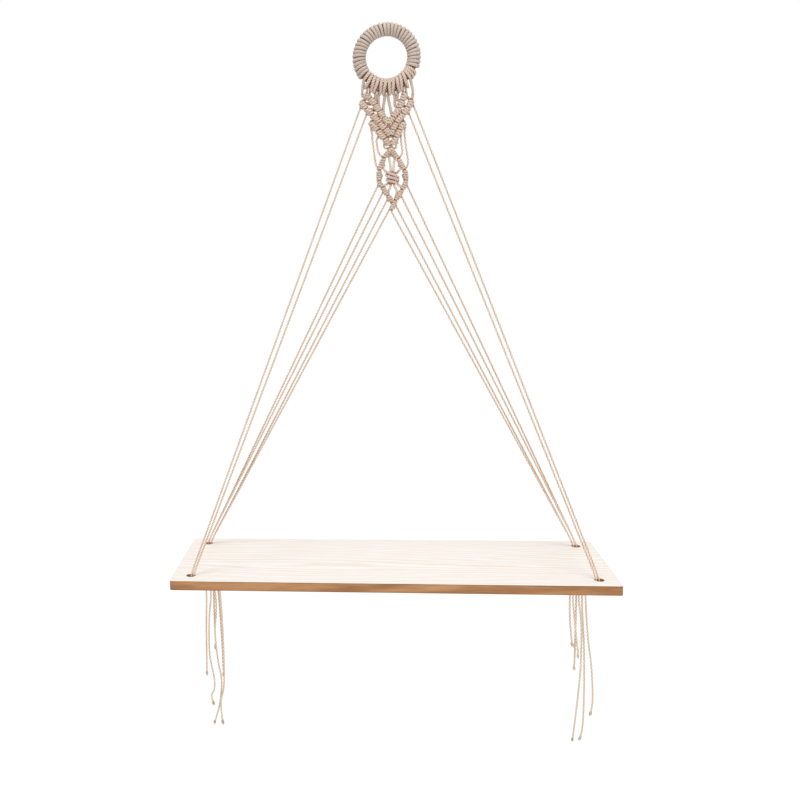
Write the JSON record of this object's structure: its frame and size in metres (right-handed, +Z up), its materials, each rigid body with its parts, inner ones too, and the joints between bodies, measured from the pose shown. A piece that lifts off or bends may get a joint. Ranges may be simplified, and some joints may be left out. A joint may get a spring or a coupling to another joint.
{
  "type": "hanging rope shelf",
  "caption": "Flat wooden board hung by cotton ropes from a diamond-knotted macrame panel on a cord-wound wooden ring, with frayed rope ends below, for a single hook on a wall.",
  "frame": {"origin": "inner top of the wound ring, where the hook or peg bears on it", "axes": "+Z up along the hanging line, +X along the board to the viewer's right, +Y towards the wall"},
  "size_m": [0.603, 0.2, 1.0503],
  "materials": {
    "hoop_wood": "orange-brown oiled wood",
    "cord": "greyish beige twisted cotton cord",
    "rope": "tan twisted cotton cord under tension",
    "pine": "pale planed pine, tan on the sawn edges"
  },
  "bodies": {
    "ring": {"hoop": "hoop_wood", "hoop_wrap": "cord"},
    "hitches": {"larks_head_1": "cord", "larks_head_2": "cord", "larks_head_3": "cord", "larks_head_4": "cord", "larks_head_5": "cord", "end_turns_left": "cord", "end_turns_right": "cord"},
    "hanger": {"chevron_upper_left": "cord", "chevron_upper_right": "cord", "chevron_middle_left": "cord", "chevron_middle_right": "cord", "chevron_lower_left": "cord", "chevron_lower_right": "cord", "diamond_upper_left": "cord", "diamond_upper_right": "cord", "diamond_lower_left": "cord", "diamond_lower_right": "cord", "float_left_1": "cord", "float_left_2": "cord", "float_left_3": "cord", "float_right_1": "cord", "float_right_2": "cord", "float_right_3": "cord", "centre_square_knot": "cord", "board": "pine", "rope_front_left_1": "rope", "rope_front_left_2": "rope", "rope_front_right_1": "rope", "rope_front_right_2": "rope", "rope_back_left_1": "rope", "rope_back_left_2": "rope", "rope_back_left_3": "rope", "rope_back_left_4": "rope", "rope_back_right_1": "rope", "rope_back_right_2": "rope", "rope_back_right_3": "rope", "rope_back_right_4": "rope", "stopper_knot_left": "rope", "stopper_knot_right": "rope", "under_run_left_1": "rope", "under_run_left_2": "rope", "under_run_right_1": "rope", "under_run_right_2": "rope"},
    "left_tassel": {"tail_left_1": "rope", "tail_left_2": "rope", "tail_left_3": "rope", "tail_left_4": "rope", "tail_left_5": "rope", "tail_left_6": "rope"},
    "right_tassel": {"tail_right_1": "rope", "tail_right_2": "rope", "tail_right_3": "rope", "tail_right_4": "rope", "tail_right_5": "rope", "tail_right_6": "rope"}
  },
  "joints": [
    {"name": "side_sway", "type": "hinge", "parent": "ring", "child": "hitches", "pos_m": [0, 0, -0.0288], "axis": [0, 1, 0], "range_deg": [-3, 3]},
    {"name": "fore_aft_swing", "type": "hinge", "parent": "hitches", "child": "hanger", "pos_m": [0, 0.0025, -0.07955], "axis": [1, 0, 0], "range_deg": [-15, 15]},
    {"name": "left_tassel_swing", "type": "hinge", "parent": "hanger", "child": "left_tassel", "pos_m": [-0.272, 0.075, -0.774], "axis": [1, 0, 0], "range_deg": [-25, 25]},
    {"name": "right_tassel_swing", "type": "hinge", "parent": "hanger", "child": "right_tassel", "pos_m": [0.278, 0.075, -0.774], "axis": [1, 0, 0], "range_deg": [-25, 25]}
  ]
}
